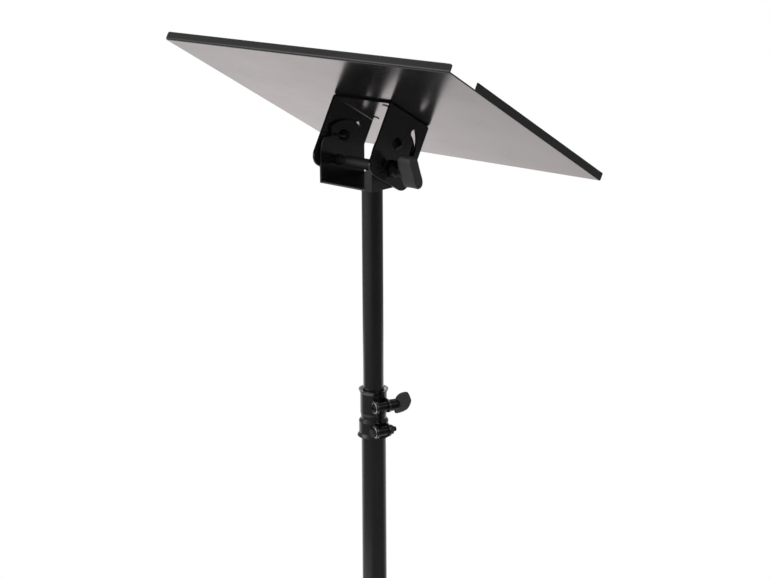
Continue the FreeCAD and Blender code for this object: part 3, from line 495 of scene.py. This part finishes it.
class STAND_OT_stage(bpy.types.Operator):
    """Make the floor, the light and the camera"""
    bl_idname = "stand.stage"
    bl_label = "Studio stage"

    def execute(self, context):
        scene = context.scene
        scene.view_settings.view_transform = "Standard"
        self.floor()
        self.world(scene)
        self.lamps(scene)
        self.camera(scene)
        return {"FINISHED"}

    def floor(self):
        """Round pale floor that fades to white away from the stand."""
        disc = bmesh.new()
        bmesh.ops.create_circle(disc, cap_ends=True, segments=96, radius=FLOOR_RADIUS)
        material, tree = new_material("studio_floor")
        place = add_node(tree, "ShaderNodeTexCoord").outputs["Object"]
        reach = add_node(tree, "ShaderNodeVectorMath", {0: place}, operation="LENGTH")
        reach = reach.outputs["Value"]
        edge = add_node(tree, "ShaderNodeMapRange", {
            "Value": reach, "From Min": 0.45, "From Max": 0.85},
            interpolation_type="SMOOTHSTEP").outputs["Result"]
        # The sweep is lit from behind and the left, with a board on the floor at the front left,
        # and the rest of the floor mirrors dim
        across = add_node(tree, "ShaderNodeVectorMath", {0: place, 1: BACK_LEFT},
                          operation="DOT_PRODUCT")
        behind = add_node(tree, "ShaderNodeMapRange", {
            "Value": across.outputs["Value"], "From Min": 0.2, "From Max": 1.75,
            "To Min": 0.1, "To Max": 1.0}).outputs["Result"]
        along = add_node(tree, "ShaderNodeVectorMath", {0: place, 1: FRONT_LEFT},
                         operation="DOT_PRODUCT")
        front = add_node(tree, "ShaderNodeMapRange", {
            "Value": along.outputs["Value"], "From Min": 0.4, "From Max": 0.8,
            "To Min": 0.0, "To Max": 0.5}).outputs["Result"]
        near = add_node(tree, "ShaderNodeMapRange", {
            "Value": reach, "From Min": 0.9, "From Max": 1.3,
            "To Min": 1.0, "To Max": 0.0}).outputs["Result"]
        board = add_node(tree, "ShaderNodeMath", {0: front, 1: near},
                         operation="MULTIPLY").outputs[0]
        sweep = add_node(tree, "ShaderNodeMath", {0: behind, 1: board},
                         operation="MAXIMUM").outputs[0]
        rays = add_node(tree, "ShaderNodeLightPath").outputs
        clear = add_node(tree, "ShaderNodeMath", {
            0: rays["Is Camera Ray"], 1: rays["Is Transmission Ray"]},
            operation="MAXIMUM").outputs[0]
        shown = add_node(tree, "ShaderNodeMath", {0: clear, 1: rays["Is Glossy Ray"]},
                         operation="MAXIMUM").outputs[0]
        level = add_node(tree, "ShaderNodeMath", {0: clear, 1: sweep},
                         operation="MAXIMUM").outputs[0]
        share = add_node(tree, "ShaderNodeMath", {0: shown, 1: edge},
                         operation="MULTIPLY").outputs[0]
        paint = add_node(tree, "ShaderNodeBsdfDiffuse", {"Color": opaque(finishes().floor)})
        # The sweep mirrors a little warm in the glossy coat
        cast = add_node(tree, "ShaderNodeMix", {"Factor": clear, 6: SWEEP_CAST, 7: WHITE},
                        data_type="RGBA")
        white = add_node(tree, "ShaderNodeEmission", {
            "Color": cast.outputs[2], "Strength": level})
        mixed = add_node(tree, "ShaderNodeMixShader", {
            0: share, 1: paint.outputs[0], 2: white.outputs[0]})
        add_node(tree, "ShaderNodeOutputMaterial", {"Surface": mixed.outputs[0]})
        add_piece("studio_floor", disc, material)

    def world(self, scene):
        """White behind the stand, and a quiet room for its light and reflections."""
        world = bpy.data.worlds.new("studio")
        scene.world = world
        world.use_nodes = True
        tree = world.node_tree
        tree.nodes.clear()
        # Glossy faces mirror a dim room with a few brighter walls
        way = add_node(tree, "ShaderNodeTexCoord").outputs["Generated"]
        glow = ROOM_GLOW
        facing = {}
        for heading, low, high, gain in BRIGHT_WALLS:
            facing[heading] = add_node(tree, "ShaderNodeVectorMath", {0: way, 1: heading},
                                       operation="DOT_PRODUCT").outputs["Value"]
            part = add_node(tree, "ShaderNodeMapRange", {
                "Value": facing[heading], "From Min": low, "From Max": high, "To Max": gain})
            glow = add_node(tree, "ShaderNodeMath", {0: glow, 1: part.outputs["Result"]},
                            operation="ADD").outputs[0]
        # A reflector at the front left gives more of the soft light
        soft = add_node(tree, "ShaderNodeMapRange", {
            "Value": facing[FRONT_LEFT], "From Min": 0.0, "From Max": 0.9,
            "To Min": 0.4, "To Max": 0.9}).outputs["Result"]
        rays = add_node(tree, "ShaderNodeLightPath").outputs
        clear = add_node(tree, "ShaderNodeMath", {
            0: rays["Is Camera Ray"], 1: rays["Is Transmission Ray"]},
            operation="MAXIMUM").outputs[0]
        fill, room, white = [
            add_node(tree, "ShaderNodeBackground", {"Color": WHITE, "Strength": strength})
            for strength in (soft, glow, 1.0)]
        lit = add_node(tree, "ShaderNodeMixShader", {
            0: rays["Is Glossy Ray"], 1: fill.outputs[0], 2: room.outputs[0]})
        mixed = add_node(tree, "ShaderNodeMixShader", {
            0: clear, 1: lit.outputs[0], 2: white.outputs[0]})
        add_node(tree, "ShaderNodeOutputWorld", {"Surface": mixed.outputs[0]})

    def lamps(self, scene):
        """Soft boxes: a wide one overhead, one at the front left and a smaller one at the right."""
        for name, spot, size, power in SOFT_BOXES:
            data = bpy.data.lights.new("soft_" + name, "AREA")
            data.size = size
            data.energy = power
            lamp = bpy.data.objects.new("soft_" + name, data)
            scene.collection.objects.link(lamp)
            lamp.location = spot
            aim = LAMP_TARGET - Vector(spot)
            lamp.rotation_euler = aim.to_track_quat("-Z", "Y").to_euler()

    def camera(self, scene):
        """Camera at the photograph's viewing angle."""
        turn, pitch, roll = [math.radians(a) for a in (VIEW_TURN, VIEW_PITCH, VIEW_ROLL)]
        bearing = math.radians(CAMERA_BEARING)
        ahead = Vector((-math.sin(turn) * math.cos(pitch), math.cos(turn) * math.cos(pitch),
                        -math.sin(pitch)))
        level = Vector((math.cos(turn), math.sin(turn), 0))
        over = level.cross(ahead)
        right = level * math.cos(roll) + over * math.sin(roll)
        up = over * math.cos(roll) - level * math.sin(roll)
        data = bpy.data.cameras.new("photo_camera")
        data.sensor_width = SENSOR
        data.lens = SENSOR * FOCAL_PIXELS / FRAME_PIXELS
        data.clip_end = FAR_CLIP
        camera = bpy.data.objects.new("photo_camera", data)
        scene.collection.objects.link(camera)
        aimed = Matrix((right, up, -ahead)).transposed().to_4x4()
        spot = Vector((CAMERA_DISTANCE * math.sin(bearing), -CAMERA_DISTANCE * math.cos(bearing),
                       CAMERA_HEIGHT))
        camera.matrix_world = Matrix.Translation(spot) @ aimed
        scene.camera = camera


class STAND_OT_sheet_metal(bpy.types.Operator):
    """Coat the tray and its rivets, the yoke, cradle, sleeve and braces"""
    bl_idname = "stand.sheet_metal"
    bl_label = "Coated sheet metal"

    def execute(self, context):
        coat = powder_coat()
        dress(coat, "tray", "yoke", "tray_rivets", "cradle_ears", "cradle_plate", "clamp_sleeve")
        dress(coat, *["brace_%d" % n for n in LEG_NUMBERS])
        # Painted shade: the yoke's front-facing edges, just under the tray, get a dull, nearly
        # black finish
        front = Vector((0, -math.cos(REST_TILT), math.sin(REST_TILT)))
        dress_faces("yoke", painted_shade_edge(),
                    lambda centre, normal: normal.dot(front) > EDGE_COSINE)
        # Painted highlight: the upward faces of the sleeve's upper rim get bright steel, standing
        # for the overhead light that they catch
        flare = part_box("clamp_sleeve")[1].z - FLARE_HEIGHT
        dress_faces("clamp_sleeve", plated_steel_and_painted_highlight("painted_highlight_sleeve_rim", 0.08, 0.16),
                    lambda centre, normal: centre.z > flare and normal.z > RIM_COSINE)
        return {"FINISHED"}


class STAND_OT_tubes(bpy.types.Operator):
    """Coat the mast and leg tubes and the stop ring"""
    bl_idname = "stand.tubes"
    bl_label = "Coated tubes"

    def execute(self, context):
        dress(powder_coat(), "upper_tube", "lower_tube", "stop_ring",
              *["leg_tube_%d" % n for n in LEG_NUMBERS])
        return {"FINISHED"}


class STAND_OT_fasteners(bpy.types.Operator):
    """Finish the bolts, nuts, washers, spacers, pins and brace rivets"""
    bl_idname = "stand.fasteners"
    bl_label = "Fasteners"

    def execute(self, context):
        dress(blackened_steel(), "pivot_bolts", "pivot_nuts", "lock_bolt", "lock_washers",
              "thumb_bolt", "thumb_spacer", "hex_bolt", "hex_spacer", "hex_nut", "crown_pins",
              "hub_pins", *["brace_rivets_%d" % n for n in LEG_NUMBERS])
        return {"FINISHED"}


class STAND_OT_bolt_rims(bpy.types.Operator):
    """Model the bright rims round the heads of the two clamp bolts"""
    bl_idname = "stand.bolt_rims"
    bl_label = "Clamp bolt rims"

    def execute(self, context):
        axis = Vector(JOINTS["height_knob_turn"]["axis"])
        half = measures().rim_width / 2
        steel = plated_steel_and_painted_highlight("plated_steel", 0.2, 0.34)
        # Bolt, rim from the face of its head, radius of the rim
        for node, depth, radius in (("thumb_bolt", 2.7, 6.1), ("hex_bolt", 4.3, 6.1)):
            bolt = frame["nodes"][node]
            points = [bolt.matrix_world @ vertex.co for vertex in bolt.data.vertices]
            middle = sum(points, Vector()) / len(points)
            head = min(axis.dot(point - middle) for point in points)
            centre = middle + axis * (head + depth * MM)
            keep(hoop("rim_" + node, centre, axis, radius * MM, half, steel),
                 "base")
        return {"FINISHED"}


class STAND_OT_nylon_parts(bpy.types.Operator):
    """Finish the lock spacer, friction discs, guides, glide and bush"""
    bl_idname = "stand.nylon_parts"
    bl_label = "Nylon parts"

    def execute(self, context):
        dress(black_nylon(), "lock_spacer", "friction_discs", "guide_discs", "tube_glide",
              "sleeve_bush")
        return {"FINISHED"}


class STAND_OT_mouldings(bpy.types.Operator):
    """Finish the crown, hub, hinge tongues and end cap"""
    bl_idname = "stand.mouldings"
    bl_label = "Plain mouldings"

    def execute(self, context):
        dress(moulded_plastic(), "crown", "hub", "tube_cap",
              *["leg_hinge_%d" % n for n in LEG_NUMBERS])
        return {"FINISHED"}


class STAND_OT_tilt_knob(bpy.types.Operator):
    """Model the tilt knob: a dished, waisted grip on a round neck"""
    bl_idname = "stand.tilt_knob"
    bl_label = "Tilt knob"

    def execute(self, context):
        sizes = measures()
        pivot = Vector(JOINTS["tilt_knob_turn"]["pos_m"])
        start = Vector((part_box("tilt_knob")[0].x, pivot.y, pivot.z))
        near, end = sizes.grip_start / MM, sizes.grip_end / MM
        tall, thick = sizes.grip_long / MM, sizes.grip_short / MM
        flange, neck = sizes.flange_radius / MM, sizes.neck_radius / MM
        up = Vector((0, -math.sin(sizes.grip_turn), math.cos(sizes.grip_turn)))
        side = Vector((0, math.cos(sizes.grip_turn), math.sin(sizes.grip_turn)))
        # Distance from the flange's face, radius
        collar = [
            (0.0, flange - 0.8), (0.25, flange - 0.2), (0.8, flange), (2.8, flange),
            (3.3, flange - 0.3), (3.8, neck + 0.8), (5.0, neck), (near - 4.0, neck),
            (near - 1.6, neck), (near + 1.0, neck - 0.4),
        ]
        rings = turned(start, ALONG_X, side, up, collar, GRIP_SIDES)
        keep(loft("stem_tilt_knob", rings, blackened_steel(), 1),
             "tilt_knob", "tilt_knob")
        # Distance from the flange's face, half thickness, half height, squareness, waist
        grip = [
            (near - 0.8, thick - 3.4, tall - 8.0, 2.2, 0.1),
            (near - 0.7, thick - 2.4, tall - 5.4, 2.3, 0.15),
            (near - 0.4, thick - 1.4, tall - 3.4, 2.4, 0.2),
            (near + 0.2, thick - 0.7, tall - 1.8, 2.5, 0.22),
            (near + 1.0, thick - 0.2, tall - 0.7, 2.5, 0.22),
            (near + 2.6, thick, tall - 0.1, 2.5, 0.22),
            (near + 6.0, thick - 0.4, tall - 0.3, 2.5, 0.22),
            (near + 10.0, thick - 0.6, tall - 0.4, 2.5, 0.22),
            (end - 6.0, thick - 0.4, tall - 0.3, 2.5, 0.22),
            (end - 2.4, thick, tall - 0.1, 2.5, 0.22),
            (end - 1.0, thick - 0.15, tall - 0.2, 2.5, 0.22),
            (end - 0.3, thick - 0.7, tall - 0.8, 2.5, 0.22),
            (end, thick - 1.7, tall - 1.9, 2.5, 0.22),
            (end, thick - 2.4, tall - 2.7, 2.5, 0.22),
            (end - 0.2, thick - 2.8, tall - 3.2, 2.5, 0.22),
            (end - 0.5, thick - 3.3, tall - 4.0, 2.4, 0.2),
            (end - 0.6, thick - 4.6, tall - 6.5, 2.3, 0.15),
        ]
        rings = [oval(start + ALONG_X * (s * MM), side, up, w * MM, h * MM, p, GRIP_SIDES, pinch)
                 for s, w, h, p, pinch in grip]
        keep(loft("oval_tilt_knob", rings, moulded_plastic(), 1),
             "tilt_knob", "tilt_knob")
        return {"FINISHED"}


class STAND_OT_thumb_knobs(bpy.types.Operator):
    """Model the half-moon thumb knobs of the height clamp and the crown"""
    bl_idname = "stand.thumb_knobs"
    bl_label = "Thumb knobs"

    # Distance from the stem's face, half thickness, upper edge, lower edge, squareness
    WING = (
        (7.9, 1.5, 2.0, -8.6, 2.2), (8.2, 2.6, 4.2, -10.2, 2.3), (9.0, 3.2, 6.2, -11.2, 2.5),
        (10.2, 3.4, 8.4, -11.6, 2.6), (11.6, 3.4, 10.4, -11.7, 2.6), (13.4, 3.3, 12.0, -11.6, 2.6),
        (16.0, 3.1, 13.3, -11.4, 2.6), (19.5, 2.9, 13.8, -10.9, 2.6), (23.0, 2.8, 13.8, -9.9, 2.6),
        (25.0, 2.7, 13.4, -8.8, 2.6), (26.2, 2.6, 12.4, -7.8, 2.5), (27.4, 2.4, 10.4, -6.4, 2.4),
        (28.6, 2.1, 7.6, -4.4, 2.3), (29.8, 1.6, 4.4, -1.9, 2.2), (30.5, 0.9, 2.4, 0.4, 2.0),
    )
    WING_RADIUS = 13.5

    def execute(self, context):
        sizes = measures()
        stem = sizes.stem_radius / MM
        scale = sizes.paddle_radius / MM / self.WING_RADIUS
        # Distance from the stem's face, radius
        collar = [(0.0, stem - 0.9), (0.4, stem - 0.2), (1.2, stem), (8.0, stem - 0.2),
                  (11.0, stem - 0.4), (14.0, stem - 2.2)]
        # Knob, stem's face from the joint
        for name, face in (("height_knob", 9.5), ("crown_knob", 24.1)):
            axis = Vector(JOINTS[name + "_turn"]["axis"])
            start = Vector(JOINTS[name + "_turn"]["pos_m"]) + axis * (face * MM)
            across = axis.cross(UPRIGHT)
            rings = turned(start, axis, across, UPRIGHT, collar)
            keep(loft("stem_" + name, rings, blackened_steel(), 1), name, name)
            rings = []
            for s, w, top, bottom, p in self.WING:
                middle = (top + bottom) / 2 * scale * MM
                half = (top - bottom) / 2 * scale * MM
                centre = start + axis * (s * MM) + UPRIGHT * middle
                rings.append(oval(centre, across, UPRIGHT, w * MM, half, p))
            keep(loft("paddle_" + name, rings, moulded_plastic(), 1), name, name)
        self.crown_screw()
        return {"FINISHED"}

    def crown_screw(self):
        """Shank of the crown knob, from the mast to the knob."""
        axis = Vector(JOINTS["crown_knob_turn"]["axis"])
        start = Vector(JOINTS["crown_knob_turn"]["pos_m"])
        # Distance from the joint, radius
        shank = ((15.3, 2.2), (16.0, 2.95), (20.0, 2.95), (25.0, 2.95))
        rings = turned(start, axis, axis.cross(UPRIGHT), UPRIGHT, shank)
        keep(loft("crown_screw", rings, blackened_steel()), "crown_knob")


class STAND_OT_feet(bpy.types.Operator):
    """Model the ribbed rubber feet, flat on the floor"""
    bl_idname = "stand.feet"
    bl_label = "Rubber feet"

    def execute(self, context):
        sizes = measures()
        radius = sizes.foot_radius / MM
        groove = radius - sizes.rib_depth / MM
        ribs, first_rib, rib_pitch = 6, 4.6, 3.4
        # Distance from the foot's upper end, radius
        profile = [(0.0, radius - 2.4), (0.4, radius - 1.0), (1.4, radius - 0.2), (3.0, radius)]
        for rib in range(ribs):
            s = first_rib + rib_pitch * rib
            profile += [(s, radius), (s + 0.5, groove), (s + 1.3, groove), (s + 1.8, radius)]
        profile += [(s, radius) for s in (28.0, 34.0, 40.0, 46.0, 52.0)]
        profile += [(56.5, radius - 0.2), (58.6, radius - 1.0), (59.6, radius - 2.4)]
        for number in LEG_NUMBERS:
            joint = JOINTS["leg_%d_swing" % number]
            swing = Vector(joint["axis"])
            out = swing.cross(UPRIGHT)
            along = out * math.sin(LEG_LEAN) - UPRIGHT * math.cos(LEG_LEAN)
            start = Vector(joint["pos_m"]) + along * FOOT_FROM_HINGE
            rings = turned(start, along, swing, swing.cross(along), profile, FOOT_SIDES)
            # Nothing of the foot goes below the floor
            rings = [[Vector((p.x, p.y, max(p.z, 0.0))) for p in ring] for ring in rings]
            keep(loft("ribbed_foot_%d" % number, rings, foot_rubber()),
                 "leg_%d" % number, "foot_%d" % number)
        return {"FINISHED"}


class STAND_OT_weld(bpy.types.Operator):
    """Model the weld bead between the upper tube and the cradle"""
    bl_idname = "stand.weld"
    bl_label = "Weld bead"

    def execute(self, context):
        low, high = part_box("upper_tube")
        radius = (high.x - low.x) / 2
        half = measures().weld_width / 2
        centre = Vector((0, 0, high.z - half))
        keep(hoop("mast_weld", centre, UPRIGHT, radius, half, powder_coat(), WELD_RIPPLE),
             "upper_mast")
        return {"FINISHED"}


class STAND_PT_panel(bpy.types.Panel):
    """Lists the steps that finish the stand, and their settings"""
    bl_idname = "STAND_PT_panel"
    bl_label = "Projector stand"
    bl_space_type = "VIEW_3D"
    bl_region_type = "UI"
    bl_category = "Stand"

    def draw(self, context):
        for step in STEPS:
            self.layout.operator(step.bl_idname)
        for group in (context.scene.stand_finish, context.scene.stand_sizes):
            column = self.layout.column()
            for name in group.bl_rna.properties.keys():
                if name not in ("rna_type", "name"):
                    column.prop(group, name)


STEPS = (
    STAND_OT_stage, STAND_OT_sheet_metal, STAND_OT_tubes, STAND_OT_fasteners, STAND_OT_bolt_rims,
    STAND_OT_nylon_parts, STAND_OT_mouldings, STAND_OT_tilt_knob, STAND_OT_thumb_knobs,
    STAND_OT_feet, STAND_OT_weld,
)
CLASSES = (StandFinish, StandSizes) + STEPS + (STAND_PT_panel,)


def register():
    for cls in CLASSES:
        bpy.utils.register_class(cls)
    bpy.types.Scene.stand_finish = bpy.props.PointerProperty(type=StandFinish)
    bpy.types.Scene.stand_sizes = bpy.props.PointerProperty(type=StandSizes)


def unregister():
    del bpy.types.Scene.stand_sizes
    del bpy.types.Scene.stand_finish
    for cls in reversed(CLASSES):
        bpy.utils.unregister_class(cls)


def main():
    register()
    bpy.ops.stand.stage()
    bpy.ops.stand.sheet_metal()
    bpy.ops.stand.tubes()
    bpy.ops.stand.fasteners()
    bpy.ops.stand.bolt_rims()
    bpy.ops.stand.nylon_parts()
    bpy.ops.stand.mouldings()
    bpy.ops.stand.tilt_knob()
    bpy.ops.stand.thumb_knobs()
    bpy.ops.stand.feet()
    bpy.ops.stand.weld()
    bpy.context.view_layer.update()


if __name__ == "__main__":
    main()
